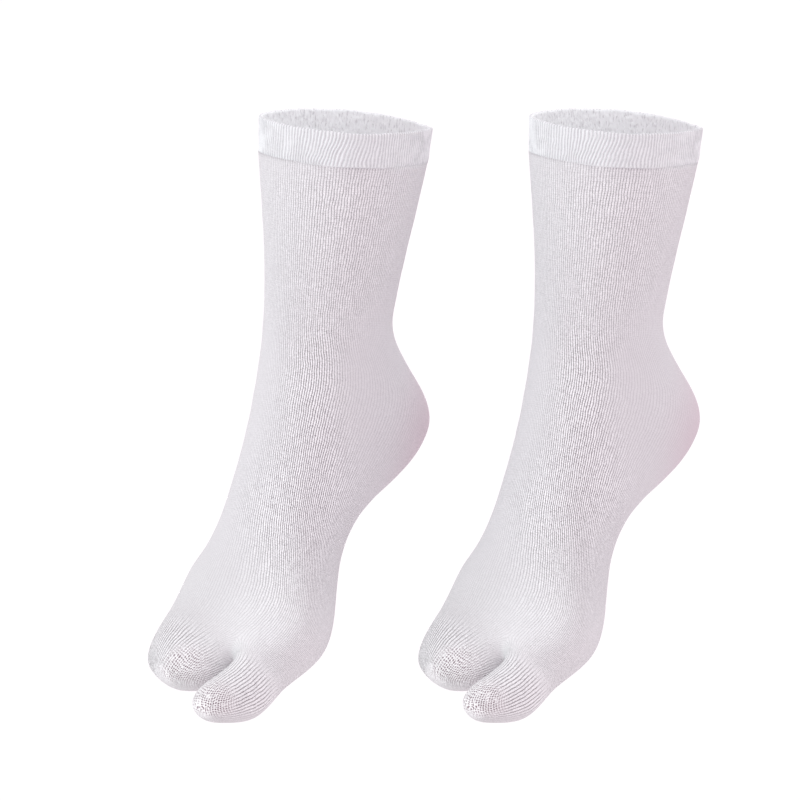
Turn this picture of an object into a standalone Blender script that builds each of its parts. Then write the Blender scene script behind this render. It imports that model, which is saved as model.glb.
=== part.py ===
"""A pair of white knitted tabi socks, hollow and filled out as they are when worn.

Both socks are the same hand: the big toe's pocket is on the left of the way that the toes point, as on a right foot.
Each sock is two knitted pieces: a ribbed welt that grips the calf, and below it one seamless tube that bends at the
heel and forks into a pocket for the big toe and a wider one for the other four.

A sock's own axes are forward (the way the toes point), inward (towards the big toe's side) and up.
The wearer's leg holds the sock, so the origin is the centre of sock_a's cuff mouth. +X runs to sock_b.
"""

import math
from collections import namedtuple

import bmesh
import bpy
from mathutils import Vector

MM = 0.001

# Driving sizes, in millimetres and degrees.
PAIR_SPACING = 146.0  # from one cuff mouth to the other
FOOT_YAW = 46.0  # how far the toes turn from -X towards -Y
FOLD_DRAW = (0.1, 0.35)  # how sharply a full fold draws the knit in, on its -X and on its +X side
FOLD_PRESS = 0.04  # how much flatter a fully folded section is
WALL = 1.5  # one layer of knit
WELT_WALL = 2.4  # the welt is the same knit folded double
WELT_PROUD = 0.5  # how far the welt's outer face stands outside the leg's
SEAM_GAP = 0.3
INNER_RISE = 0.23  # the leg narrows downwards, so the inner edge of its wall's top stands this much over the outer one
RIB_COUNT = 100  # 1x1 ribs round a welt
RIB_DEPTH = 0.5
RIM_ROUND = 0.6  # how far the welt's rounded upper edge rises over its faces
WHITE_COTTON = (0.83, 0.81, 0.84, 1)

# A section of the tube. Its centre lies forward and inward of the cuff mouth's centre and at a height over it. Tilt
# turns its plane from level (0) to facing straight forward (90), roll drops its inner side towards the sole, and sweep
# sets its inner side ahead of its outer one. Then how far the knit reaches from the centre each way, and square, which
# is 2 for an ellipse and more for fuller corners. Fold is how much of the flat fold at each side the knit has kept from
# being pressed: 1 gives the cuff its two pointed ends, 0 is none.
Section = namedtuple("Section", "name forward inward height tilt roll sweep front back inner outer square fold")

LEG_AND_FOOT = (
    Section("rim", 0, 0, 0, 6.2, 0, 0.8, 49.5, 49.5, 45, 45, 2, 1),
    Section("welt foot", 2.3, 0, -19, 7, 0, 0, 48.5, 48.5, 43.5, 43.5, 2, 0.8),
    Section("calf", 4.5, 0, -38, 7, 0, 0, 46.5, 46.5, 40, 40, 2, 0.5),
    Section("shin", 8.5, 0, -70, 7, 0, 0, 42.5, 42, 34, 34, 2, 0.2),
    Section("above ankle", 13, 0, -97, 8, 0, 0, 39, 39, 31, 31, 2, 0),
    Section("ankle", 15, 0, -112, 12, 0, 0, 38.5, 37.5, 31, 31, 2, 0),
    Section("heel top", 6, 0, -132, 20, 0, 0, 51, 56.5, 32, 32, 2.2, 0),
    Section("heel back", 4, 0, -144.5, 25, 0, 0, 55.5, 68.5, 33, 33, 2.3, 0),
    Section("heel", 10, 0, -161, 33, 0, 0, 54, 59, 33, 33, 2.3, 0),
    Section("heel foot", 20, 0, -178, 37, 2, 0, 51, 46, 31, 33, 2.2, 0),
    Section("waist", 34, 0, -197, 36, 4, 0, 39.5, 33, 31, 34.5, 2.2, 0),
    Section("instep", 48, 0, -220, 33, 7, 3, 33, 25.5, 33, 35, 2.3, 0),
    Section("metatarsals", 59, 0, -242, 33, 10, 8, 27, 27.5, 42.5, 39, 2.4, 0),
    Section("ball", 69, 0, -259, 40, 12, 12, 24.2, 28.5, 48, 47, 2.7, 0),
)
FORK = Section("fork", 83, 0, -275.5, 52, 10, 14, 20.6, 18.5, 37.5, 48.5, 2.6, 0)

BIG_TOE = (
    Section("big toe root", 104, 30, -287.5, 64, 8, 8, 14, 19, 13, 12.5, 2.4, 0),
    Section("big toe joint", 117, 30.5, -292, 66, 8, 5, 13, 19, 15, 13, 2.2, 0),
    Section("big toe pad", 132, 29.5, -296, 68, 10, 0, 12, 12.5, 12.5, 13, 2, 0),
    Section("big toe end", 140, 28, -298.5, 70, 10, 0, 8, 8, 9, 9, 2, 0),
)
BIG_TOE_TIP = Section("big toe tip", 144, 28, -299.5, 70, 0, 0, 0, 0, 0, 0, 2, 0)

SMALL_TOES = (
    Section("toes joint", 104, -14, -280, 60, 6, 15, 15.5, 15, 29, 30, 2.2, 0),
    Section("toes pad", 117, -13.5, -285, 62, 3, 15, 13, 12, 25, 25.5, 2.1, 0),
    Section("toes end", 125.5, -14.5, -288.5, 64, 3, 13, 8, 9, 14.5, 17.5, 2, 0),
)
SMALL_TOES_TIP = Section("toes tip", 128, -15, -289, 64, 0, 0, 0, 0, 0, 0, 2, 0)

# The cage that the smooth knit is made from: points round the leg, and the two that the fork joins across the foot.
RING = 16
DORSAL_SPLIT = 1
PLANTAR_SPLIT = 7
WEB_POINTS = 3
WEB_SET_BACK = -14.0  # how far the middle of the web lies behind its ends; it lies ahead of them
CLEFT_SHIFT = (3.5, -8.0, 0.0)  # how far forward, inward and up the top of the cleft lies from the fork's ring


def cage_gain(count):
    """How much a cage ring of so many points is larger than the smooth curve that subdivision makes from it."""
    return 3 / (2 + math.cos(2 * math.pi / count))


def to_frame(forward, inward, up):
    """A point given in a sock's own axes, in millimetres, as a point of the frame, in metres."""
    yaw = math.radians(FOOT_YAW)
    across = -forward * math.cos(yaw) + inward * math.sin(yaw)
    away = -forward * math.sin(yaw) - inward * math.cos(yaw)
    return Vector((across, away, up)) * MM


def folded(section, deep, wide, grow):
    """Draws a section's point in towards the line between its two side folds, more the nearer it is to one."""
    cos, sin = math.cos(math.radians(FOOT_YAW)), math.sin(math.radians(FOOT_YAW))
    across, away = wide * sin - deep * cos, -deep * sin - wide * cos
    front, inner = grow + section.front, grow + section.inner
    reach = math.hypot(front * cos, inner * sin)
    line = across * (front**2 - inner**2) * sin * cos / reach**2
    draw = FOLD_DRAW[across > 0] * section.fold
    away = line + (away - line) * (1 - FOLD_PRESS * section.fold) * max(0.0, 1 - (across / reach) ** 2) ** draw
    return -across * cos - away * sin, across * sin - away * cos


def on_section(section, angle, grow=0.0):
    """The point of a section at an angle, which is 0 at its front and 90 on its inner side."""
    tilt, roll, sweep = (math.radians(a) for a in (section.tilt, section.roll, section.sweep))
    front_share = math.copysign(abs(math.cos(angle)) ** (2 / section.square), math.cos(angle))
    inner_share = math.copysign(abs(math.sin(angle)) ** (2 / section.square), math.sin(angle))
    deep = front_share * (grow + (section.front if front_share > 0 else section.back))
    wide = inner_share * (grow + (section.inner if inner_share > 0 else section.outer))
    if section.fold:
        deep, wide = folded(section, deep, wide, grow)
    up = deep * math.cos(roll) - wide * math.sin(roll)
    along = wide * math.tan(sweep)
    return to_frame(
        section.forward + up * math.cos(tilt) + along * math.sin(tilt),
        section.inward + wide * math.cos(roll) + deep * math.sin(roll),
        section.height + up * math.sin(tilt) - along * math.cos(tilt),
    )


def cage_ring(bm, section, count, first_angle=0.0):
    step = 2 * math.pi / count
    centre = on_section(section._replace(front=0, back=0, inner=0, outer=0, fold=0), 0)
    gain = cage_gain(count)
    ring = []
    for i in range(count):
        point = on_section(section, math.radians(first_angle) + i * step)
        ring.append(bm.verts.new(centre + (point - centre) * gain))
    return ring


def bridge(bm, upper, lower):
    """Joins two rings of equal length with quads that face outwards."""
    for i in range(len(upper)):
        j = (i + 1) % len(upper)
        bm.faces.new((upper[i], lower[i], lower[j], upper[j]))


def close_tip(bm, ring, tip):
    end = bm.verts.new(on_section(tip, 0))
    for i in range(len(ring)):
        bm.faces.new((ring[i], end, ring[(i + 1) % len(ring)]))


def add_pocket(bm, mouth, sections, tip, first_angle):
    """Carries a pocket on from its mouth, a loop of the fork, to its tip."""
    ring = mouth
    for section in sections:
        lower = cage_ring(bm, section, len(mouth), first_angle)
        bridge(bm, ring, lower)
        ring = lower
    close_tip(bm, ring, tip)


def tube_cage():
    """The tube's cage: rings down the leg and along the foot, a web across the fork, and the two pockets."""
    bm = bmesh.new()
    top = LEG_AND_FOOT[1]
    top = top._replace(height=top.height - SEAM_GAP - INNER_RISE)
    ring = cage_ring(bm, top, RING)
    for section in (*LEG_AND_FOOT[2:], FORK):
        lower = cage_ring(bm, section, RING)
        bridge(bm, ring, lower)
        ring = lower
    dorsal, plantar = ring[DORSAL_SPLIT], ring[PLANTAR_SPLIT]
    dorsal.co += to_frame(*CLEFT_SHIFT)
    tilt = math.radians(FORK.tilt)
    back = to_frame(-math.sin(tilt), 0, math.cos(tilt)) * WEB_SET_BACK
    web = []
    for k in range(1, WEB_POINTS + 1):
        share = k / (WEB_POINTS + 1)
        bow = math.sin(math.pi * share)
        web.append(bm.verts.new(dorsal.co.lerp(plantar.co, share) + back * bow))
    inner_arc = ring[DORSAL_SPLIT : PLANTAR_SPLIT + 1]
    outer_arc = ring[PLANTAR_SPLIT:] + ring[: DORSAL_SPLIT + 1]
    big_mouth = inner_arc + web[::-1]
    small_mouth = outer_arc + web
    big_step, small_step = 360 / len(big_mouth), 360 / len(small_mouth)
    add_pocket(bm, big_mouth, BIG_TOE, BIG_TOE_TIP, 90 - (len(inner_arc) - 1) / 2 * big_step)
    add_pocket(bm, small_mouth, SMALL_TOES, SMALL_TOES_TIP, 270 - (len(outer_arc) - 1) / 2 * small_step)
    return bm


def white_knit(name):
    """Bleached cotton knit: matt, faintly cool."""
    knit = bpy.data.materials.new(name)
    knit.use_nodes = True
    shader = knit.node_tree.nodes["Principled BSDF"]
    shader.inputs["Base Color"].default_value = WHITE_COTTON
    shader.inputs["Roughness"].default_value = 0.95
    shader.inputs["Metallic"].default_value = 0
    knit.diffuse_color = WHITE_COTTON
    return knit


def new_object(name, bm, leg, collection):
    """A piece of the sock that this leg empty stands for, in its own material."""
    mesh = bpy.data.meshes.new(name)
    bm.to_mesh(mesh)
    bm.free()
    obj = bpy.data.objects.new(name, mesh)
    obj.parent = leg
    obj.data.materials.append(white_knit(name))
    collection.objects.link(obj)
    return obj


def make_tube(leg, collection):
    obj = new_object(leg.name + "_leg_and_foot", tube_cage(), leg, collection)
    smooth = obj.modifiers.new("smooth knit", "SUBSURF")
    smooth.levels = smooth.render_levels = 1
    wall = obj.modifiers.new("wall", "SOLIDIFY")
    wall.thickness = WALL * MM
    wall.offset = -1
    wall.use_even_offset = True
    obj.data.shade_smooth()
    return obj


def between(upper, lower, share):
    """The section at a share of the way from one section to the next."""
    mixed = [a + (b - a) * share for a, b in zip(upper[1:], lower[1:])]
    return Section("between", *mixed)


def welt_ring(bm, share, grow, lift, ribbed):
    """A ring of the welt at a share of its height, grown outwards, with its ribs raised if it is an outer one."""
    section = between(LEG_AND_FOOT[0], LEG_AND_FOOT[1], share)
    ring = []
    for i in range(2 * RIB_COUNT):
        rib = RIB_DEPTH if ribbed and i % 2 == 0 else 0
        point = on_section(section, math.pi * i / RIB_COUNT, grow + rib - (RIB_DEPTH if ribbed else 0))
        ring.append(bm.verts.new(point + Vector((0, 0, lift * MM))))
    return ring


def make_welt(leg, collection):
    """The welt: ribs on its outer face, a plain inner face, and a rounded upper edge."""
    bm = bmesh.new()
    outer, inner = WELT_PROUD, WELT_PROUD - WELT_WALL
    rings = [
        welt_ring(bm, 1, outer, 0, True),
        welt_ring(bm, 0.06, outer, 0, True),
        welt_ring(bm, 0, (outer + inner) / 2, RIM_ROUND, False),
        welt_ring(bm, 0.06, inner, 0, False),
        welt_ring(bm, 1, inner, 0, False),
    ]
    for lower, upper in zip(rings, rings[1:] + rings[:1]):
        bridge(bm, upper, lower)
    return new_object(leg.name + "_welt", bm, leg, collection)


def clear_scene():
    for obj in list(bpy.data.objects):
        bpy.data.objects.remove(obj, do_unlink=True)


def main():
    clear_scene()
    collection = bpy.data.collections.new("tabi_socks")
    bpy.context.scene.collection.children.link(collection)
    for name, across in (("sock_a", 0), ("sock_b", PAIR_SPACING)):
        leg = bpy.data.objects.new(name, None)
        leg.location = (across * MM, 0, 0)
        collection.objects.link(leg)
        make_welt(leg, collection)
        make_tube(leg, collection)


main()
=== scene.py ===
import itertools
import math

import bmesh
import bpy
from mathutils import Matrix, Vector, noise


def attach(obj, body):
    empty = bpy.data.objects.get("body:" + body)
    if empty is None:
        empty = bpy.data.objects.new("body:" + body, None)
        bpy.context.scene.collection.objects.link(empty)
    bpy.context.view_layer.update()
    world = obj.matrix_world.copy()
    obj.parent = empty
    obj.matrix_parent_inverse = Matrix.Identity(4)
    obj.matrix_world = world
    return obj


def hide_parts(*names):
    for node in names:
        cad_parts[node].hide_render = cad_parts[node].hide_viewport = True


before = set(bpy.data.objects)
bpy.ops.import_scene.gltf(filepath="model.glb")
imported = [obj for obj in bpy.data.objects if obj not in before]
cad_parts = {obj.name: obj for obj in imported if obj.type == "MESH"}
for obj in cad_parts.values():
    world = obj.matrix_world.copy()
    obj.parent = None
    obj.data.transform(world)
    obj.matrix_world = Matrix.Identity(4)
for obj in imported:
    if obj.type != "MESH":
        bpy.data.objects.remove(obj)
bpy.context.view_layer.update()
bpy.ops.object.select_all(action="DESELECT")

mm = 0.001
pair = {
    "spacing": 146.0,  # the second cuff stands this far along +X
    "footYaw": 46.0,  # the toes turn this far from -X to -Y
}


# The form that both pieces of a sock follow, in millimetres and degrees.
# A section's centre lies forward and inward of the cuff mouth's centre and at a height. Tilt, roll and sweep
# turn it, the next four are how far the knit reaches from its centre, square is 2 for an ellipse, and fold is
# how much of the pressed side folds is left.
columns = "forward inward height tilt roll sweep front back inner outer square fold".split()
form = {
    "leg and foot": {
        "rim": (0, 0, 0, 6.2, 0, 0.8, 49.5, 49.5, 45, 45, 2, 1),
        "welt foot": (2.3, 0, -19, 7, 0, 0, 48.5, 48.5, 43.5, 43.5, 2, 0.8),
        "calf": (4.5, 0, -38, 7, 0, 0, 46.5, 46.5, 40, 40, 2, 0.5),
        "shin": (8.5, 0, -70, 7, 0, 0, 42.5, 42, 34, 34, 2, 0.2),
        "above ankle": (13, 0, -97, 8, 0, 0, 39, 39, 31, 31, 2, 0),
        "ankle": (15, 0, -112, 12, 0, 0, 38.5, 37.5, 31, 31, 2, 0),
        "heel top": (6, 0, -132, 20, 0, 0, 51, 56.5, 32, 32, 2.2, 0),
        "heel back": (4, 0, -144.5, 25, 0, 0, 55.5, 68.5, 33, 33, 2.3, 0),
        "heel": (10, 0, -161, 33, 0, 0, 54, 59, 33, 33, 2.3, 0),
        "heel foot": (20, 0, -178, 37, 2, 0, 51, 46, 31, 33, 2.2, 0),
        "waist": (34, 0, -197, 36, 4, 0, 39.5, 33, 31, 34.5, 2.2, 0),
        "instep": (48, 0, -220, 33, 7, 3, 33, 25.5, 33, 35, 2.3, 0),
        "metatarsals": (59, 0, -242, 33, 10, 8, 27, 27.5, 42.5, 39, 2.4, 0),
        "ball": (69, 0, -259, 40, 12, 12, 24.2, 28.5, 48, 47, 2.7, 0),
        "fork": (83, 0, -275.5, 52, 10, 14, 20.6, 18.5, 37.5, 48.5, 2.6, 0),
    },
    "big toe": {
        "root": (104, 30, -287.5, 64, 8, 8, 14, 19, 13, 12.5, 2.4, 0),
        "joint": (117, 30.5, -292, 66, 8, 5, 13, 19, 15, 13, 2.2, 0),
        "pad": (132, 29.5, -296, 68, 10, 0, 12, 12.5, 12.5, 13, 2, 0),
        "end": (140, 28, -298.5, 70, 10, 0, 8, 8, 9, 9, 2, 0),
        "tip": (144, 28, -299.5, 70, 0, 0, 0, 0, 0, 0, 2, 0),
    },
    "small toes": {
        "joint": (104, -14, -280, 60, 6, 15, 15.5, 15, 29, 30, 2.2, 0),
        "pad": (117, -13.5, -285, 62, 3, 15, 13, 12, 25, 25.5, 2.1, 0),
        "end": (125.5, -14.5, -288.5, 64, 3, 13, 8, 9, 14.5, 17.5, 2, 0),
        "tip": (128, -15, -289, 64, 0, 0, 0, 0, 0, 0, 2, 0),
    },
    "foldDraw": (0.1, 0.35),  # how sharply a full fold draws the knit in, on the -X and on the +X side
    "foldPress": 0.04,  # how much flatter a full fold makes it
}


def sectionsOf(part):
    return [dict(zip(columns, row)) for row in form[part].values()]


def toFrame(forward, inward, up):
    yaw = math.radians(pair["footYaw"])
    across = -forward * math.cos(yaw) + inward * math.sin(yaw)
    away = -forward * math.sin(yaw) - inward * math.cos(yaw)
    return Vector((across, away, up)) * mm


def folded(section, deep, wide, grow):
    # draws the point in towards the line between the two side folds
    cosYaw, sinYaw = math.cos(math.radians(pair["footYaw"])), math.sin(math.radians(pair["footYaw"]))
    across, away = wide * sinYaw - deep * cosYaw, -deep * sinYaw - wide * cosYaw
    front, inner = grow + section["front"], grow + section["inner"]
    reach = math.hypot(front * cosYaw, inner * sinYaw)
    line = across * (front**2 - inner**2) * sinYaw * cosYaw / reach**2
    draw = form["foldDraw"][across > 0] * section["fold"]
    flat = (1 - form["foldPress"] * section["fold"]) * max(0.0, 1 - (across / reach) ** 2) ** draw
    away = line + (away - line) * flat
    return -across * cosYaw - away * sinYaw, across * sinYaw - away * cosYaw


def onSection(section, angle, grow=0.0):
    # angle 0 is the section's front and 90 degrees its inner side
    tilt, roll, sweep = (math.radians(section[turn]) for turn in ("tilt", "roll", "sweep"))
    frontShare = math.copysign(abs(math.cos(angle)) ** (2 / section["square"]), math.cos(angle))
    innerShare = math.copysign(abs(math.sin(angle)) ** (2 / section["square"]), math.sin(angle))
    deep = frontShare * (grow + section["front" if frontShare > 0 else "back"])
    wide = innerShare * (grow + section["inner" if innerShare > 0 else "outer"])
    if section["fold"]:
        deep, wide = folded(section, deep, wide, grow)
    up = deep * math.cos(roll) - wide * math.sin(roll)
    along = wide * math.tan(sweep)
    return toFrame(
        section["forward"] + up * math.cos(tilt) + along * math.sin(tilt),
        section["inward"] + wide * math.cos(roll) + deep * math.sin(roll),
        section["height"] + up * math.sin(tilt) - along * math.cos(tilt),
    )


def centreOf(section):
    return toFrame(section["forward"], section["inward"], section["height"])


def between(upper, lower, share):
    return {name: upper[name] + (lower[name] - upper[name]) * share for name in columns}


# leg and foot: one seamless plain-knit tube, forked into two toe pockets
tube = {
    "ring": 16,  # cage points round the leg
    "dorsalSplit": 1,  # the cage points that the fork's web joins
    "plantarSplit": 7,
    "webPoints": 3,
    "webSetBack": -14.0,  # the web's middle lies ahead of its ends
    "cleftShift": (3.5, -8.0, 0.0),  # the top of the cleft lies this far forward, inward and up from the ring
    "smoothing": 3,  # times that the cage is subdivided
    "wall": 1.3,
    "tuckedUnderWelt": 0.6,
    "wales": 176,  # columns of stitches round the leg
    "courseHeight": 1.25,  # millimetres of one row of stitches
    "mostRows": 50,  # no part of the knit map has more rows than this
    "rowSlack": 0.01,  # rows are whole numbers, but for rounding
    "pocketFrom": (0.3, 1.5),  # the toes' clearer stitches begin between these rows past the fork
    "heelShadeReach": (25, 72),  # the heel's painted rosy shade runs out between these distances from its back
    "underToes": (2, -5),  # the knit is drawn smooth from this far over a tip's height to this far under it
    "underToesSmooth": 0.8,  # which takes this much of its stitches
    "ballAngle": 65,  # the big toe's joint, on the fork's section
    "ballStretchAndLight": (10, 60),  # the knit is drawn smooth over it, with less painted gap shade: partly real, partly painted light
    "unevenness": 0.3,  # millimetres that the knit rises and sinks
    "swellSize": 26,
    "swells": ((1.0, 1.0, (0, 0, 0)), (0.5, 2.3, (5, 9, 2))),  # each set's share, fineness and shift
    "flat": (0.225, 0.385),  # metres: the tube opened along one side and laid flat, before it is worn
    "flatArea": 0.0700,  # square metres
}
pockets = {
    "big toe": {
        "start": 100,  # its rows are counted on from here, so that the pockets stay apart in the knit map
        "middle": 90,  # degrees round the leg
        "cagePoints": 10,
        "wales": 9 / 22,  # for each of the leg's
        "openKnit": (6, 18),  # the opener knit at its end runs out between these distances
        "openAt": (139, 33, -294),  # from a point this far forward, inward and up
        "holePitch": 2.0,
        "clear": 1.7,  # how much clearer its stitches are
    },
    "small toes": {
        "start": 200,
        "middle": 270,
        "cagePoints": 14,
        "wales": 12 / 22,
        "openKnit": (5, 20),
        "openAt": (123, -2, -284),
        "holePitch": 1.9,
        "clear": 1.2,
    },
}


# The stitches' painted shade stands out clearest in a strip down the leg and along the foot, front and back,
# where the light grazes the knit: painted light. Each row is a height, the strip's middle and half width
# across, how much clearer its stitches are there, and how clear they are elsewhere.
grazingLightStrip = (
    (-17, -2, 36, 0.45, 0.3),
    (-27, -2, 36, 0.85, 0.3),
    (-80, -6, 30, 0.8, 0.3),
    (-102, -15, 17, 0.9, 0.28),
    (-120, -18, 12, 2.3, 0.2),
    (-160, -20, 14, 2.35, 0.25),
    (-195, -24, 21, 3.5, 0.2),
    (-225, -29, 21, 1.5, 0.15),
    (-262, -31, 18, 0.55, 0.33),
)


def cageRing(cage, section, count, firstAngle=0.0):
    gain = 3 / (2 + math.cos(2 * math.pi / count))  # subdivision draws a ring in by this much
    centre = centreOf(section)
    ring = []
    for i in range(count):
        point = onSection(section, math.radians(firstAngle) + i * 2 * math.pi / count)
        ring.append(cage.verts.new(centre + (point - centre) * gain))
    return ring


def stitchedFace(cage, knit, corners):
    # corners is [(vertex, wale, row)]
    face = cage.faces.new([vertex for vertex, _, _ in corners])
    for loop, (_, wale, row) in zip(face.loops, corners):
        loop[knit].uv = (wale, row)


def bridgeRings(cage, knit, upper, lower, firstWale, row):
    step = tube["wales"] / tube["ring"]
    for i in range(len(upper)):
        j = (i + 1) % len(upper)
        wale = firstWale + i * step
        corners = [
            (upper[i], wale, row),
            (lower[i], wale, row + 1),
            (lower[j], wale + step, row + 1),
            (upper[j], wale + step, row),
        ]
        stitchedFace(cage, knit, corners)


def addPocket(cage, knit, mouth, part, firstAngle, firstWale, row):
    ring = mouth
    *sections, tip = sectionsOf(part)
    for section in sections:
        lower = cageRing(cage, section, len(mouth), firstAngle)
        bridgeRings(cage, knit, ring, lower, firstWale, row)
        ring, row = lower, row + 1
    end = cage.verts.new(centreOf(tip))
    step = tube["wales"] / tube["ring"]
    for i in range(len(ring)):
        j = (i + 1) % len(ring)
        wale = firstWale + i * step
        corners = [(ring[i], wale, row), (end, wale + step / 2, row + 1), (ring[j], wale + step, row)]
        stitchedFace(cage, knit, corners)


def buildTubeCage():
    cage = bmesh.new()
    knit = cage.loops.layers.uv.new("knit")
    _, top, *rest = sectionsOf("leg and foot")
    top["height"] += tube["tuckedUnderWelt"]
    ring = cageRing(cage, top, tube["ring"])
    for row, section in enumerate(rest):
        lower = cageRing(cage, section, tube["ring"])
        bridgeRings(cage, knit, ring, lower, 0, row)
        ring = lower
    forkRow, fork = len(rest), rest[-1]
    dorsal, plantar = ring[tube["dorsalSplit"]], ring[tube["plantarSplit"]]
    dorsal.co += toFrame(*tube["cleftShift"])
    tilt = math.radians(fork["tilt"])
    back = toFrame(-math.sin(tilt), 0, math.cos(tilt)) * tube["webSetBack"]
    web = []
    for k in range(1, tube["webPoints"] + 1):
        share = k / (tube["webPoints"] + 1)
        web.append(cage.verts.new(dorsal.co.lerp(plantar.co, share) + back * math.sin(math.pi * share)))
    innerArc = ring[tube["dorsalSplit"] : tube["plantarSplit"] + 1]
    outerArc = ring[tube["plantarSplit"] :] + ring[: tube["dorsalSplit"] + 1]
    step = tube["wales"] / tube["ring"]
    for part, arc, rest, firstPoint in (
        ("big toe", innerArc, web[::-1], tube["dorsalSplit"]),
        ("small toes", outerArc, web, tube["plantarSplit"]),
    ):
        mouth = arc + rest
        firstAngle = pockets[part]["middle"] - (len(arc) - 1) / 2 * 360 / pockets[part]["cagePoints"]
        addPocket(cage, knit, mouth, part, firstAngle, step * firstPoint, forkRow + pockets[part]["start"])
    return cage, forkRow


def finishModifiers(obj):
    bpy.context.view_layer.objects.active = obj
    obj.select_set(True)
    for modifier in list(obj.modifiers):
        bpy.ops.object.modifier_apply(modifier=modifier.name)
    obj.select_set(False)


def newPiece(name, mesh):
    obj = bpy.data.objects.new(name, mesh)
    bpy.context.scene.collection.objects.link(obj)
    return obj


def smoothStep(low, high, value):
    share = min(1.0, max(0.0, (value - low) / (high - low)))
    return share * share * (3 - 2 * share)


def courseTable(mesh, start):
    # how many rows of stitches lie between the cage's rows, from the way that each ring's middle moves
    fine = 2 ** tube["smoothing"]
    sums = {}
    for loop, at in zip(mesh.loops, mesh.uv_layers["knit"].uv):
        row = at.vector.y - start
        if 0 <= row < tube["mostRows"]:
            point, count = sums.get(round(row * fine), (Vector(), 0))
            sums[round(row * fine)] = (point + mesh.vertices[loop.vertex_index].co, count + 1)
    found, total, before = {}, 0.0, None
    for row in sorted(sums):
        middle = sums[row][0] / sums[row][1]
        total += (middle - before).length / mm / tube["courseHeight"] if before else 0
        found[row], before = total, middle
    return found


def grazingLightClearness(point):
    # how clearly a point's stitches stand out: painted light, clearest where the light grazes the knit
    height, across = point.z / mm, point.x / mm
    for upper, lower in zip(grazingLightStrip, grazingLightStrip[1:]):
        if height > lower[0] or lower is grazingLightStrip[-1]:
            break
    share = min(1.0, max(0.0, (upper[0] - height) / (upper[0] - lower[0])))
    _, middle, halfWidth, clearer, elsewhere = (a + (b - a) * share for a, b in zip(upper, lower))
    return elsewhere + clearer * math.exp(-(((across - middle) / halfWidth) ** 2))


def nearness(mesh, spot, reach):
    # 1 up to the first distance from the spot, and 0 from the second on
    return [1 - smoothStep(*reach, (vertex.co - spot).length / mm) for vertex in mesh.vertices]


def layStitches(mesh, forkRow):
    # turns the knit map's row numbers into numbers of courses, and notes on each point how many rows it lies
    # past the fork, how near it is to the heel's back (for its painted shade), to the ball and to the end of
    # a toe, how clear its stitches are, which of the toe's own wales it lies at, and where on the toe's cap,
    # counted in holes
    fine = 2 ** tube["smoothing"]
    starts = [0] + [pocket["start"] for pocket in pockets.values()]
    tables = {start: courseTable(mesh, start) for start in starts}
    toFork = tables[0][forkRow * fine]
    stretch = round(toFork) / toFork  # a whole number of courses to the fork
    tips = {pocket["start"]: (centreOf(sectionsOf(part)[-1]), pocket) for part, pocket in pockets.items()}
    heel = onSection(dict(zip(columns, form["leg and foot"]["heel back"])), math.pi)
    ball = onSection(dict(zip(columns, form["leg and foot"]["fork"])), math.radians(tube["ballAngle"]))
    past, nearToe, under, toeClear = ([0.0] * len(mesh.vertices) for _ in range(4))
    cap = [Vector() for _ in mesh.vertices]
    toeWales, knitMap = [], []
    layer = mesh.uv_layers["knit"]
    for loop, place in zip(mesh.loops, layer.uv):
        wale, row = place.vector
        k = loop.vertex_index
        start = max(s for s in starts if s <= row + tube["rowSlack"])
        courses = tables[start][round((row - start) * fine)]
        past[k] = row - start - forkRow
        if start:
            tip, pocket = tips[start]
            point = mesh.vertices[k].co
            courses += stretch * toFork
            toeWales.append(wale * pocket["wales"])
            turn = 2 * math.pi * wale * tube["ring"] / tube["wales"] / pocket["cagePoints"]
            reach = (point - tip).length / mm
            cap[k] = Vector((math.cos(turn), math.sin(turn), 0)) * reach / pocket["holePitch"]
            away = (point - toFrame(*pocket["openAt"])).length / mm
            nearToe[k] = 1 - smoothStep(*pocket["openKnit"], away)
            toeClear[k] = pocket["clear"]
            under[k] = smoothStep(*tube["underToes"], (point.z - tip.z) / mm)
        else:
            courses *= stretch
            toeWales.append(0.0)
        knitMap += [wale, courses]
    layer.uv.foreach_set("vector", knitMap)
    clear = []
    for i, vertex in enumerate(mesh.vertices):
        inPocket = smoothStep(*tube["pocketFrom"], past[i])
        smoothed = 1 - tube["underToesSmooth"] * under[i] * inPocket
        clear.append((grazingLightClearness(vertex.co) + toeClear[i] * inPocket) * smoothed)
        nearToe[i] *= 1 - under[i] * inPocket
    notes = {
        "pastFork": past,
        "nearToe": nearToe,
        "heelShadeNearness": nearness(mesh, heel, tube["heelShadeReach"]),
        "onBall": nearness(mesh, ball, tube["ballStretchAndLight"]),
        "clear": clear,
    }
    for name, values in notes.items():
        mesh.attributes.new(name, "FLOAT", "POINT").data.foreach_set("value", values)
    mesh.attributes.new("toeWale", "FLOAT", "CORNER").data.foreach_set("value", toeWales)
    flatCap = [part for place in cap for part in place]
    mesh.attributes.new("toeCap", "FLOAT_VECTOR", "POINT").data.foreach_set("vector", flatCap)


def unevenKnit(mesh, amount, size):
    # slow swells and slacks, so that the light doesn't run off a perfect surface
    normals = [vertex.normal.copy() for vertex in mesh.vertices]
    for vertex, normal in zip(mesh.vertices, normals):
        at = vertex.co / (size * mm)
        lifts = (share * noise.noise(at * fine + Vector(shift)) for share, fine, shift in tube["swells"])
        vertex.co += normal * (sum(lifts) * amount * mm)


def secondOf(obj, name):
    # the other sock's piece: the same knit, beside the first
    twin = newPiece(name, obj.data.copy())
    twin.data.name = name
    twin.data.transform(Matrix.Translation((pair["spacing"] * mm, 0, 0)))
    return twin


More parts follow.
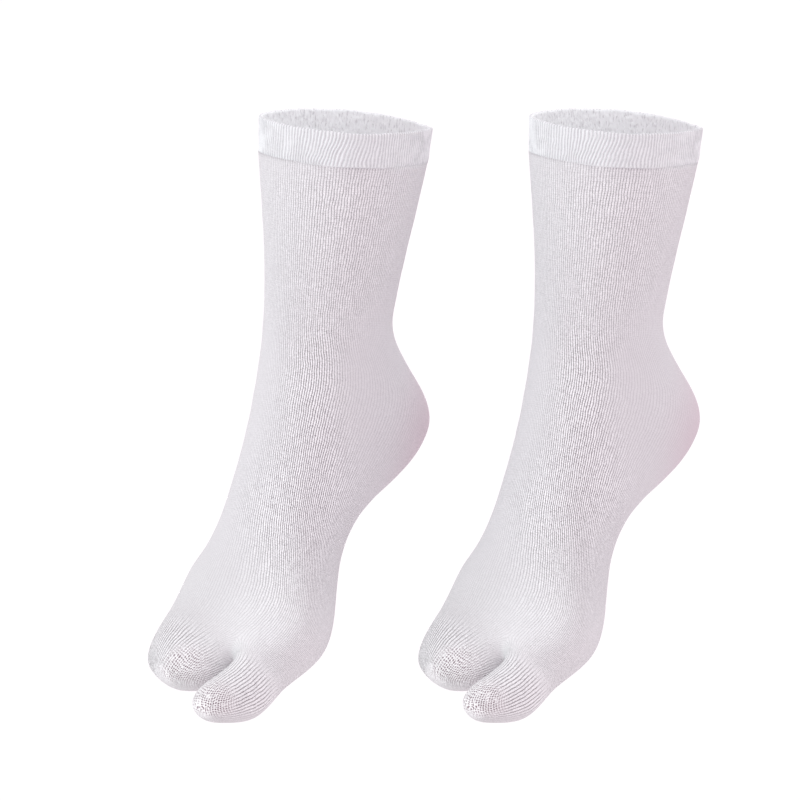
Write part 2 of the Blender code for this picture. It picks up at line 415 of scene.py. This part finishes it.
def buildTube(name, skin, lining):
    cage, forkRow = buildTubeCage()
    mesh = bpy.data.meshes.new(name)
    cage.to_mesh(mesh)
    cage.free()
    obj = newPiece(name, mesh)
    smooth = obj.modifiers.new("smooth", "SUBSURF")
    smooth.levels = smooth.render_levels = tube["smoothing"]
    smooth.uv_smooth = "NONE"
    finishModifiers(obj)
    layStitches(obj.data, forkRow)
    unevenKnit(obj.data, tube["unevenness"], tube["swellSize"])
    obj.data.materials.append(skin)
    obj.data.materials.append(lining)
    wall = obj.modifiers.new("wall", "SOLIDIFY")
    wall.thickness = tube["wall"] * mm
    wall.offset = -1
    wall.material_offset = 1
    finishModifiers(obj)
    obj.data.shade_smooth()
    return obj


# welt: the ribbed cuff, knitted double, with a soft rolled upper edge
welt = {
    "ribs": 140,
    "pointsPerRib": 4,
    "height": 19.0,
    "outer": 0.2,  # how far its faces stand outside the leg's own surface
    "foot": -0.02,  # and how far at its lower edge, which it eases to over this many millimetres
    "easing": 3.5,
    "inner": -1.9,
    "faceRings": 20,
    "rimRings": 8,
    "napRings": (14, 0.75),  # rings down the looped inside, and the millimetres between them
    "plainRings": (4, 2.0),  # and below it
    "outerEdge": (0.08, 0.12),  # how far up and in its lower edge is rounded on the outside
    "innerEdge": ((0.25, 0.1), (0, 0.5)),  # the same on the inside, up and out, in two steps
    "ribDepth": 0.45,
    "plainEdge": 0.7,  # the ribs run out into plain knit over this much above the lower edge
    "liningRibDepth": 0.25,
    "rimRise": 0.6,
    "rimDrop": 0.5,
    "rimWaver": 0.35,  # millimetres that the upper edge rises and falls
    "wavers": ((1.0, 4), (0.6, 11)),  # in sets, each with its share and fineness
    "waverTo": 4,  # which is gone this far down
    "ribRise": 0.12,  # millimetres that each rib stands up over the edge, also gone by so far down
    "ribRiseTo": 1.5,
    "loopHeight": 0.4,  # the soft loops inside the cuff
    "loopSize": 2.1,
    "loopSets": ((1.0, 1.0), (0.5, 0.5)),  # each set's share, and its size beside the others'
    "loopsSink": -0.2,  # the gaps between them are no deeper than this share
    "loopsFrom": (0.3, 0.9),  # they begin between these shares of the way over the rim
    "loopsEnd": 4,  # and run out over this much above the lower edge
    "slowNoise": (3.0, 0.1),  # the welt's radius in its slow noises, and how far a millimetre down is in them
    "ribWander": 0.4,  # how far a rib strays on its way down, in ribs
    "wanderFineness": 1.5,
    "wanderFrom": (2, 13),  # between these depths under the rim
    "ribLean": {  # the pulled ribs in the middle of the front
        "ribs": -2.4,
        "at": 44,  # degrees
        "spread": 24,
        "from": (1, 18),  # millimetres down
    },
    "courseHeight": 0.95,
    "flat": (0.27, 0.0195),  # metres: the band opened and laid flat
}


def weltPath():
    # the welt's cut, from its outer foot up, over the rim and down inside: how far down, how far out, and how
    # much of it is lining
    outer, inner, height, rimDrop = (welt[name] for name in ("outer", "inner", "height", "rimDrop"))
    middle, radius = (outer + inner) / 2, (outer - inner) / 2
    edgeUp, edgeIn = welt["outerEdge"]
    lowest = height - edgeUp
    path = []
    for k in range(welt["faceRings"] + 1):
        drop = lowest - (lowest - rimDrop) * k / welt["faceRings"]
        eased = smoothStep(height - welt["easing"], height, drop)
        path.append((drop, outer - (outer - welt["foot"]) * eased, 0))
    for k in range(1, welt["rimRings"]):
        turn = math.pi * k / welt["rimRings"]
        drop = rimDrop - (rimDrop + welt["rimRise"]) * math.sin(turn)
        path.append((drop, middle + radius * math.cos(turn), k / welt["rimRings"]))
    count, step = welt["napRings"]
    path += [(rimDrop + step * k, inner, 1) for k in range(count)]
    nappedTo = path[-1][0]
    count, step = welt["plainRings"]
    path += [(nappedTo + step * k, inner, 1) for k in range(1, count + 1)]
    path += [(height - up, inner + out, 1) for up, out in welt["innerEdge"]]
    path.append((height, welt["foot"] - edgeIn, 0))
    return path


def evenAngles(section, count):
    # the angles whose points lie evenly along the section's outline
    samples = 1440
    points = [onSection(section, 2 * math.pi * k / samples) for k in range(samples + 1)]
    steps = ((after - before).length for before, after in zip(points, points[1:]))
    gone = list(itertools.accumulate(steps, initial=0.0))
    found, k = [], 0
    for i in range(count):
        aim = gone[-1] * i / count
        while gone[k + 1] < aim:
            k += 1
        found.append(2 * math.pi * (k + (aim - gone[k]) / (gone[k + 1] - gone[k])) / samples)
    return found


def angleAt(angles, place):
    whole = math.floor(place)
    first, second = (angles[k % len(angles)] + 2 * math.pi * (k // len(angles)) for k in (whole, whole + 1))
    return first + (second - first) * (place - whole)


def ribStray(angle, place, drop):
    # how many ribs a rib has strayed by, this far down: each wanders a little, and some are pulled aslant
    lean = welt["ribLean"]
    off = (math.degrees(angle) - lean["at"] + 180) % 360 - 180
    wander = noise.noise(place * welt["wanderFineness"]) * welt["ribWander"]
    wander *= smoothStep(*welt["wanderFrom"], drop)
    return wander + lean["ribs"] * math.exp(-((off / lean["spread"]) ** 2)) * smoothStep(*lean["from"], drop)


def loopsAt(point, lining, drop):
    # how far in the soft loops stand at a point, in millimetres
    size, height = welt["loopSize"] * mm, welt["height"]
    loops = sum(share * noise.noise(point / (size * part)) for share, part in welt["loopSets"])
    nap = smoothStep(*welt["loopsFrom"], lining) * smoothStep(height, height - welt["loopsEnd"], drop)
    return max(welt["loopsSink"], loops) * welt["loopHeight"] * nap


def rimLift(place, rib, drop):
    # how far up a point of the rolled edge stands, in millimetres
    waver = sum(share * noise.noise(place * fineness) for share, fineness in welt["wavers"])
    lift = -min(0.0, drop) + waver * welt["rimWaver"] * smoothStep(welt["waverTo"], 0, drop)
    return lift + welt["ribRise"] * rib * smoothStep(welt["ribRiseTo"], 0, drop)


def buildWelt(name, ribbing):
    rim, foot, *_ = sectionsOf("leg and foot")
    height, perRib = welt["height"], welt["pointsPerRib"]
    noiseRound, noiseDown = welt["slowNoise"]
    count = welt["ribs"] * perRib
    rimAngles, footAngles = evenAngles(rim, count), evenAngles(foot, count)
    shell = bmesh.new()
    knit = shell.loops.layers.uv.new("knit")
    liningLayer = shell.verts.layers.float.new("lining")
    plainLayer = shell.verts.layers.float.new("plain")
    rings, courses, before = [], [], None
    for drop, grow, lining in weltPath():
        share = max(0.0, drop) / height
        section = between(rim, foot, share)
        angles = [atRim + (atFoot - atRim) * share for atRim, atFoot in zip(rimAngles, footAngles)]
        plain = smoothStep(height - welt["plainEdge"], height, drop) * (1 - lining)
        ring = []
        for i, angle in enumerate(angles):
            place = Vector((noiseRound * math.cos(angle), noiseRound * math.sin(angle), noiseDown * drop))
            stray = ribStray(angle, place, drop) * (1 - lining)
            rib = 0.5 + 0.5 * math.cos(2 * math.pi * i / perRib)
            depth = (rib - 1) * welt["ribDepth"] * (1 - lining) * (1 - plain)
            depth += (1 - rib) * -welt["liningRibDepth"] * lining
            point = onSection(section, angleAt(angles, i + stray * perRib), grow + depth)
            inward = (centreOf(section) - point).normalized()
            point += inward * (loopsAt(point, lining, drop) * mm)
            made = shell.verts.new(point + Vector((0, 0, rimLift(place, rib, drop) * mm)))
            made[liningLayer], made[plainLayer] = lining, plain
            ring.append(made)
        rings.append(ring)
        at = Vector((grow, drop))
        courses.append(courses[-1] + (at - before).length / welt["courseHeight"] if before else 0.0)
        before = at
    courses.append(courses[-1] + 1)
    for k, lower in enumerate(rings):
        upper = rings[(k + 1) % len(rings)]
        for i in range(count):
            j = (i + 1) % count
            wale, nextWale = i / perRib, (i + 1) / perRib
            corners = [
                (upper[i], wale, courses[k + 1]),
                (lower[i], wale, courses[k]),
                (lower[j], nextWale, courses[k]),
                (upper[j], nextWale, courses[k + 1]),
            ]
            stitchedFace(shell, knit, corners)
    mesh = bpy.data.meshes.new(name)
    shell.to_mesh(mesh)
    shell.free()
    mesh.materials.append(ribbing)
    unevenKnit(mesh, tube["unevenness"], tube["swellSize"])
    mesh.shade_smooth()
    return newPiece(name, mesh)


# the yarn, and how the light picks its stitches out
cotton = {
    "yarn": (0.98, 0.94, 0.978, 1),  # bleached cotton where the light reaches it
    "inner": (0.98, 0.98, 0.998, 1),  # the inside, painted lighter and whiter: painted light for the light that comes through the knit
    "deep": (0.27, 0.235, 0.258, 1),  # painted shade deep between the stitches
    # painted shade: the rosy darkening towards the heel's back
    "heelShadeTone": (0.58, 0.38, 0.46, 1),
    "weltTone": (0.60, 0.62, 0.64, 1),
    "footTone": (0.50, 0.52, 0.45, 1),
    "toeYarn": (0.99, 0.93, 0.955, 1),  # the opener knit at the toes, and its holes
    "toeHole": (0.20, 0.115, 0.15, 1),
    "relief": 0.3,  # millimetres
    "sheen": 0.12,
    "sheenRoughness": 0.6,
    "gloss": 0.2,
    "roughness": 0.88,  # of the yarn's tops, and how much fine grain adds
    "roughnessGrain": 0.1,
    "stray": 1.0,  # how far stitches lie from their even places, in stitches
    "strayOver": 7.0,  # over how many millimetres
}


class Wire:
    # a node's output that takes part in sums
    def __init__(self, bench, socket):
        self.bench, self.socket = bench, socket

    def output(self, name):
        return Wire(self.bench, self.socket.node.outputs[name])

    def math(self, operation, *others):
        return self.bench.node("ShaderNodeMath", {"operation": operation}, dict(enumerate((self, *others))))

    def __add__(self, other):
        return self.math("ADD", other)

    def __sub__(self, other):
        return self.math("SUBTRACT", other)

    def __rsub__(self, other):
        return self.bench.node("ShaderNodeMath", {"operation": "SUBTRACT"}, {0: other, 1: self})

    def __mul__(self, other):
        return self.math("MULTIPLY", other)

    __radd__ = __add__
    __rmul__ = __mul__

    def wave(self):
        # 1 at each whole number, 0 half way between
        return (self * (2 * math.pi)).math("COSINE") * 0.5 + 0.5

    def ease(self, low, high):
        inputs = {"Value": self, "From Min": low, "From Max": high, "To Min": 0.0, "To Max": 1.0}
        return self.bench.node("ShaderNodeMapRange", {"interpolation_type": "SMOOTHSTEP"}, inputs)

    def towards(self, other, share):
        return self + (other - self) * share


class Bench:
    # the nodes of one material
    def __init__(self, name):
        self.material = bpy.data.materials.new(name)
        self.material.use_nodes = True
        self.tree = self.material.node_tree
        self.shader = self.tree.nodes["Principled BSDF"]

    def node(self, kind, settings=None, inputs=None, output=0):
        made = self.tree.nodes.new(kind)
        for name, value in (settings or {}).items():
            setattr(made, name, value)
        for name, value in (inputs or {}).items():
            self.plug(made.inputs[name], value)
        return Wire(self, made.outputs[output])

    def plug(self, socket, value):
        if isinstance(value, Wire):
            self.tree.links.new(value.socket, socket)
        else:
            socket.default_value = value

    def blend(self, share, first, second):
        # colours: share 0 gives the first
        return self.node("ShaderNodeMix", {"data_type": "RGBA"}, {0: share, 6: first, 7: second}, 2)

    def attribute(self, name, output="Fac"):
        return self.node("ShaderNodeAttribute", {"attribute_name": name}, output=output)

    def grain(self, size, detail=2.0, roughness=0.5, drawn=1.0):
        # noise on the object's own coordinates: its lumps are size millimetres across and drawn times as tall
        place = self.node("ShaderNodeTexCoord", output="Object")
        scale = [1 / (size * mm), 1 / (size * mm), 1 / (size * drawn * mm)]
        scaled = self.node("ShaderNodeMapping", inputs={"Vector": place, "Scale": scale})
        inputs = {"Vector": scaled, "Scale": 1.0, "Detail": detail, "Roughness": roughness}
        return self.node("ShaderNodeTexNoise", inputs=inputs)

    def astray(self):
        # how far a stitch lies from its even place, as in all knitting
        return (self.grain(cotton["strayOver"], detail=1.0) - 0.5) * cotton["stray"]

    def stitchPlace(self):
        # the wale and the course that a point lies at
        knit = self.node("ShaderNodeUVMap", {"uv_map": "knit"})
        place = self.node("ShaderNodeSeparateXYZ", inputs={0: knit})
        astray = self.astray()
        return place.output("X") + astray, place.output("Y") - astray

    def anyStitch(self, wale, course):
        # a number from 0 to 1 that is each stitch's own
        cell = self.node("ShaderNodeCombineXYZ", inputs={0: wale.math("FLOOR"), 1: course.math("FLOOR")})
        return self.node("ShaderNodeTexWhiteNoise", {"noise_dimensions": "2D"}, {"Vector": cell})

    def finish(self, shade, relief, fine, yarn=cotton["yarn"], tints=()):
        # shade runs from 0 on the top of the yarn to 1 in the deepest gap
        colour = self.blend(shade, yarn, cotton["deep"])
        for share, tone in tints:
            colour = self.blend(share, colour, tone)
        inputs = {"Strength": 1.0, "Distance": cotton["relief"] * mm, "Height": relief}
        self.plug(self.shader.inputs["Base Color"], colour)
        self.plug(self.shader.inputs["Normal"], self.node("ShaderNodeBump", inputs=inputs))
        self.plug(self.shader.inputs["Roughness"], fine * cotton["roughnessGrain"] + cotton["roughness"])
        self.shader.inputs["Sheen Weight"].default_value = cotton["sheen"]
        self.shader.inputs["Sheen Roughness"].default_value = cotton["sheenRoughness"]
        self.shader.inputs["Specular IOR Level"].default_value = cotton["gloss"]
        return self.material


stitchForm = {
    "shoulder": (0.5, 0.18),  # a wale rises between these distances from its middle, in wales
    "groove": (0.12, 0.0),  # and dips a little between its two legs
    "grooveDepth": 0.22,
    "lean": 1.1,  # courses that a leg climbs over half a wale
}


def column(wale, course, notch):
    # one wale: two legs of yarn that lean together into a V, with a furrow between it and the next
    side = (wale.math("FRACT") - 0.5).math("ABSOLUTE")
    groove = side.ease(*stitchForm["groove"]) * stitchForm["grooveDepth"]
    crown = side.ease(*stitchForm["shoulder"]) * (1 - groove)
    return crown * ((course + side * stitchForm["lean"]).wave() * notch + (1 - notch))


plainLook = {
    "notch": 0.35,  # how deep the gap between two courses is, in a wale
    "toeNotch": 0.3,
    "toeStray": 0.6,  # how much the toes' wales stray, of what the others do
    "pocketFrom": (0.1, 1.2),  # the toes' own wales take over between these rows past the fork
    "fine": 0.6,  # millimetres of the yarn's own grain
    "patch": 2.6,  # and of the patches in which the knit lies tighter
    "gap": 0.7,  # how dark the painted shade in the gaps is, in the strip where the light grazes
    "gapPatch": 0.1,  # and how much patches add
    "gapLevel": 0.385,
    "ownShade": 0.14,  # how much one stitch differs from the next
    "fineShade": 1.2,
    "toeFlecks": 0.5,  # how much of the flecks the toe's opener knit takes away
    "ground": 0.435,  # the shade that all the knit has between its stitches
    "groundAtToe": 0.9,  # how much of that the opener knit takes away
    "ballSmoothAndLight": 0.4,  # and how much of it the ball does: smoother knit, and partly painted light
    "pocketShade": 0.1,
    "laid": (0.7, 0.0),  # where the stitches are less clear than this, the knit lies flatter
    "laidShade": 0.1,
    "shadeRange": (-0.25, 1.3),
    "capFade": (5.0, 1.5),  # the stitches fade out between these distances from the toe's end, in holes
    "capWander": 4,  # millimetres over which the rows of holes stray
    "capStray": 1.2,
    "holeEdge": (0.45, 0.85),
    "holePatch": (0.25, 0.5),
    "holeShade": 0.3,
    "holeRelief": 0.6,
    "holeTint": 0.95,
    "toeTint": 0.4,
    "heelShadeTint": 0.42,
    "footTint": 0.07,
    "footFrom": (-3.5, 0.5),  # rows past the fork
    "fineRelief": 0.5,
}


def plainKnit(name):
    look = plainLook
    bench = Bench(name)
    wale, course = bench.stitchPlace()
    inPocket = bench.attribute("pastFork").ease(*look["pocketFrom"])
    toeWale = bench.attribute("toeWale") + bench.astray() * look["toeStray"]
    stitch = column(wale, course, look["notch"]).towards(column(toeWale, course, look["toeNotch"]), inPocket)
    own = bench.anyStitch(wale, course)
    fine = bench.grain(look["fine"], detail=2.0, roughness=0.65)
    patchy = bench.grain(look["patch"])
    toeCap = bench.attribute("toeCap", "Vector")
    fromEnd = bench.node("ShaderNodeVectorMath", {"operation": "LENGTH"}, {0: toeCap}, "Value")
    stitch = stitch.towards(0.5, fromEnd.ease(*look["capFade"]) * inPocket)
    cap = bench.node("ShaderNodeSeparateXYZ", inputs={0: toeCap})
    astray = (bench.grain(look["capWander"]) - 0.5) * look["capStray"]
    capX, capY = (cap.output(side) + astray for side in "XY")
    holes = capX.wave() * capY.wave() + (capX + 0.5).wave() * (capY + 0.5).wave()
    atToe = bench.attribute("nearToe")
    hole = holes.ease(*look["holeEdge"]) * atToe * patchy.ease(*look["holePatch"])
    smoothed = 1 - bench.attribute("onBall") * look["ballSmoothAndLight"]
    # how strongly the stitches' painted shade stands out: painted light along the strip where the light
    # grazes, and the toes' clearer knit
    clear = bench.attribute("clear")
    laid = clear.ease(*look["laid"])
    flecks = (1 - stitch) * (patchy * look["gapPatch"] + look["gap"]) - look["gapLevel"]
    flecks = flecks + (own - 0.5) * look["ownShade"] + (fine - 0.5) * look["fineShade"]
    flecks = flecks * clear * (1 - atToe * look["toeFlecks"]) * smoothed
    shade = flecks + (1 - atToe * look["groundAtToe"]) * smoothed * look["ground"]
    shade = shade + inPocket * look["pocketShade"] + laid * look["laidShade"] + hole * look["holeShade"]
    onFoot = bench.attribute("pastFork").ease(*look["footFrom"])
    tints = [
        (atToe * look["toeTint"], cotton["toeYarn"]),
        # painted rosy shade towards the heel's back
        (bench.attribute("heelShadeNearness") * look["heelShadeTint"], cotton["heelShadeTone"]),
        (onFoot * look["footTint"], cotton["footTone"]),
        (hole * look["holeTint"], cotton["toeHole"]),
    ]
    relief = (stitch + fine * look["fineRelief"] - hole * look["holeRelief"]) * (1 - laid)
    return bench.finish(shade.ease(*look["shadeRange"]), relief, fine, tints=tints)


liningLook = {
    "fine": 0.5,
    "loopWave": 0.35,  # how far a loop's row rises and falls, in courses
    "rowShare": 0.7,
    "loopShade": 0.35,
    "ownShade": 0.2,
    "fineShade": 0.7,
    "fineLevel": 0.4,
    "shadeRange": (0.1, 2.0),
    "loopRelief": 0.7,
    "fineRelief": 0.5,
}


def knitLining(name):
    # the purl side: rows of small loops
    look = liningLook
    bench = Bench(name)
    wale, course = bench.stitchPlace()
    fine = bench.grain(look["fine"], detail=3.0, roughness=0.65)
    own = bench.anyStitch(wale, course)
    rows = (course + wale.wave() * look["loopWave"]).wave()
    loops = rows * look["rowShare"] + (wale * 2).wave() * (1 - look["rowShare"])
    shade = (1 - loops) * look["loopShade"] + own * look["ownShade"]
    shade = (shade + (fine - look["fineLevel"]) * look["fineShade"]).ease(*look["shadeRange"])
    relief = loops * look["loopRelief"] + fine * look["fineRelief"]
    # the inside takes the lighter inner yarn: painted light for the light that comes through the knit
    return bench.finish(shade, relief, fine, yarn=cotton["inner"])


ribbedLook = {
    "inside": (0.35, 0.8),  # the looped side begins between these shares of the way over the rim
    "fine": 0.5,
    "nap": 0.9,  # millimetres of the inside's streaks, and how many times they are drawn out upwards
    "napDrawn": 4.0,
    "napEdge": (0.25, 0.75),
    "ribWidth": (0.0, 0.85),
    "courseLean": 0.4,
    "courseDepth": 0.25,
    "plainRib": 0.35,  # how far the plain edge's knit stands up, where a rib is 1
    "ribShade": 0.54,
    "ownShade": 0.1,
    "fineShade": 0.8,
    "napShade": 1.15,
    "napWale": 0.2,
    "napLevel": 0.82,
    "shadeRange": (-0.15, 1.3),
    "tint": 0.32,
    "napRelief": 0.4,
    "fineRelief": 0.5,
    "fineInside": 0.6,  # how much less the fine relief is inside
}


def ribbedKnit(name):
    look = ribbedLook
    bench = Bench(name)
    wale, course = bench.stitchPlace()
    inside = bench.attribute("lining").ease(*look["inside"])
    fine = bench.grain(look["fine"], detail=3.0, roughness=0.65)
    own = bench.anyStitch(wale + 0.5, course)
    nap = bench.grain(look["nap"], roughness=0.6, drawn=look["napDrawn"]).ease(*look["napEdge"])
    rows = (course + wale.wave() * look["courseLean"]).wave()
    rows = rows * look["courseDepth"] + (1 - look["courseDepth"])
    rib = wale.wave().ease(*look["ribWidth"]) * rows
    rib = rib.towards(look["plainRib"], bench.attribute("plain"))
    outside = (1 - rib) * look["ribShade"] + (own - 0.5) * look["ownShade"]
    streaks = (1 - nap) * look["napShade"] + (1 - wale.wave()) * look["napWale"] - look["napLevel"]
    shade = (outside.towards(streaks, inside) + (fine - 0.5) * look["fineShade"]).ease(*look["shadeRange"])
    relief = rib.towards(nap * look["napRelief"], inside)
    relief = relief + fine * (1 - inside * look["fineInside"]) * look["fineRelief"]
    # inside, the lighter inner yarn: painted light for the light that comes through the knit
    yarn = bench.blend(inside, cotton["yarn"], cotton["inner"])
    return bench.finish(shade, relief, fine, yarn, [((1 - inside) * look["tint"], cotton["weltTone"])])


skin, lining, ribbing = plainKnit("plainKnit"), knitLining("knitLining"), ribbedKnit("ribbedKnit")
tubes = [buildTube("legAndFootA", skin, lining)]
tubes.append(secondOf(tubes[0], "legAndFootB"))
print("leg and foot:", len(tubes[0].data.polygons), "faces")
welts = [buildWelt("weltA", ribbing)]
welts.append(secondOf(welts[0], "weltB"))
print("welt:", len(welts[0].data.polygons), "faces")
for obj, node in zip(tubes, ("sock_a_leg_and_foot", "sock_b_leg_and_foot")):
    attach(obj, "root")
    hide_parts(node)
for obj, node in zip(welts, ("sock_a_welt", "sock_b_welt")):
    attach(obj, "root")
    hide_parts(node)
print("pair dressed")


# floor, light and camera, in metres
studio = {
    "floorDrop": 0.9,
    "floorSize": 40.0,
    "floorTones": ((0.95, 0.95, 0.95, 1), (0.97, 0.97, 0.97, 1)),
    "floorMottle": 300,  # millimetres
    "floorRoughness": 0.9,
    "floorGloss": 0.1,
    "floorGlow": 0.12,
    "world": (0.99, 0.942, 0.972),
    "frameWidth": 0.432,  # what the picture takes in, in metres
    "middle": (0.02916, -0.03, -0.14683),  # what it centres on
    "elevation": 12.0,
    "distance": 2.5,
    "clipEnd": 50,
    "lampsAimAt": -0.15,  # this far up from a cuff's mouth
}
lamps = {  # each is a large soft light, given by the way that it lies from the sock
    "key": {
        "from": (-0.915, -0.400, -0.05),
        "distance": 2.2,
        "size": 1.3,
        "power": 15.7,
        "colour": (0.73, 1.0, 0.91),
    },
    "overhead": {
        "from": (0.25, -0.08, 0.96),
        "distance": 2.2,
        "size": 1.3,
        "power": 9.8,
        "colour": (0.77, 1.0, 0.93),
    },
}


def buildFloor():
    bpy.ops.mesh.primitive_plane_add(size=studio["floorSize"], location=(0, 0, -studio["floorDrop"]))
    floor = bpy.context.object
    floor.name = "floor"
    bench = Bench("paleFloor")
    mottled = bench.blend(bench.grain(studio["floorMottle"]), *studio["floorTones"])
    bench.plug(bench.shader.inputs["Base Color"], mottled)
    bench.shader.inputs["Roughness"].default_value = studio["floorRoughness"]
    bench.shader.inputs["Specular IOR Level"].default_value = studio["floorGloss"]
    bench.shader.inputs["Emission Color"].default_value = (1, 1, 1, 1)
    bench.shader.inputs["Emission Strength"].default_value = studio["floorGlow"]
    floor.data.materials.append(bench.material)


def addLamps(name, pieces, across):
    # each sock has its own, so that neither stands in the other's shade
    middle = Vector((across, 0, studio["lampsAimAt"]))
    lit = bpy.data.collections.new(name)
    for piece in pieces:
        lit.objects.link(piece)
    for kind, lamp in lamps.items():
        light = bpy.data.lights.new(kind + name, "AREA")
        light.shape = "DISK"
        light.size, light.energy, light.color = lamp["size"], lamp["power"], lamp["colour"]
        obj = bpy.data.objects.new(kind + name, light)
        way = Vector(lamp["from"]).normalized()
        obj.location = middle + way * lamp["distance"]
        obj.rotation_euler = way.to_track_quat("Z", "Y").to_euler()
        bpy.context.scene.collection.objects.link(obj)
        obj.light_linking.receiver_collection = lit
        obj.light_linking.blocker_collection = lit


def setWorld():
    world = bpy.data.worlds.new("studio")
    world.use_nodes = True
    background = world.node_tree.nodes["Background"]
    background.inputs["Color"].default_value = (*studio["world"], 1)
    background.inputs["Strength"].default_value = 1.0
    bpy.context.scene.world = world


def addCamera():
    camera = bpy.data.cameras.new("camera")
    camera.type = "ORTHO"
    camera.ortho_scale = studio["frameWidth"]
    camera.clip_end = studio["clipEnd"]
    obj = bpy.data.objects.new("camera", camera)
    tilt = math.radians(studio["elevation"])
    back = Vector((0, -math.cos(tilt), math.sin(tilt)))
    obj.location = Vector(studio["middle"]) + back * studio["distance"]
    obj.rotation_euler = back.to_track_quat("Z", "Y").to_euler()
    bpy.context.scene.collection.objects.link(obj)
    bpy.context.scene.camera = obj


buildFloor()
addLamps("A", (tubes[0], welts[0]), 0)
addLamps("B", (tubes[1], welts[1]), pair["spacing"] * mm)
setWorld()
addCamera()
bpy.context.scene.view_settings.view_transform = "Standard"
print("studio set")
